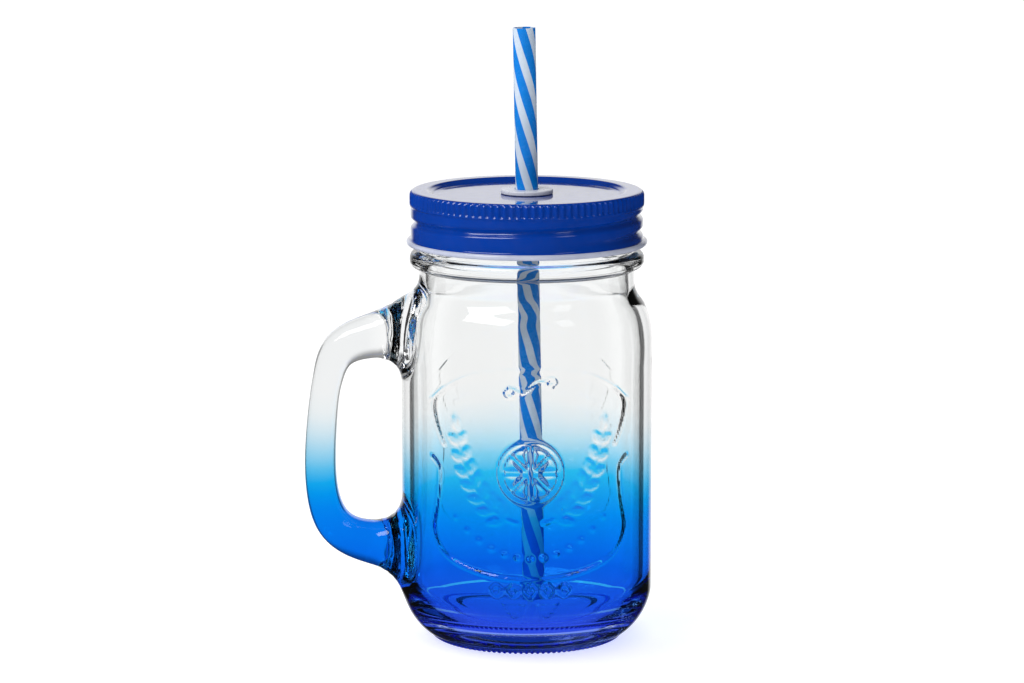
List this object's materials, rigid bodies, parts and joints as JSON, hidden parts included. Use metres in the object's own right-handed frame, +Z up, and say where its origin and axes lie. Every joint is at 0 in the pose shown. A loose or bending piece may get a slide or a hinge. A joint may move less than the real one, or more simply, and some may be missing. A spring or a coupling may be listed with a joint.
{
  "type": "drinking jar with screw lid",
  "caption": "Glass drinking jar with a side handle, a screw-on metal lid with a central grommet, and a long straight straw.",
  "frame": {"origin": "on the surface that the jar stands on, under the centre of the box round the whole object; the jar's own axis is upright 15.15 mm to +X of it", "axes": "+Z up along the jar's axis, the handle towards -X, the embossed panel towards -Y"},
  "size_m": [0.1083, 0.078, 0.1911],
  "materials": {
    "faded_blue_glass": "clear glass with a sprayed blue fade that grows denser towards the base",
    "lid_enamel": "gloss enamel on tinplate, bare edge at the curl",
    "sealing_compound": "matt",
    "grommet": "satin",
    "straw_plastic": "blue and white helical stripes"
  },
  "bodies": {
    "jar": {"glass_jar": "faded_blue_glass"},
    "grommet": {"straw_grommet": "grommet"},
    "lid": {"lid_shell": "lid_enamel", "lid_gasket": "sealing_compound"},
    "straw": {"straw": "straw_plastic"}
  },
  "joints": [
    {"name": "lid_rise", "type": "slide", "parent": "jar", "child": "grommet", "axis": [0, 0, 1], "range_m": [0, 0.0068]},
    {"name": "lid_turn", "type": "hinge", "parent": "grommet", "child": "lid", "pos_m": [0.01515, 0, 0.1396], "axis": [0, 0, 1], "range_deg": [0, 480]},
    {"name": "straw_slide", "type": "slide", "parent": "grommet", "child": "straw", "axis": [-0.0175, 0, 0.9998], "range_m": [0, 0.12]}
  ],
  "couplings": [
    {"joint": "lid_rise", "follows": "lid_turn", "m_per_rad": 0.00080851}
  ]
}
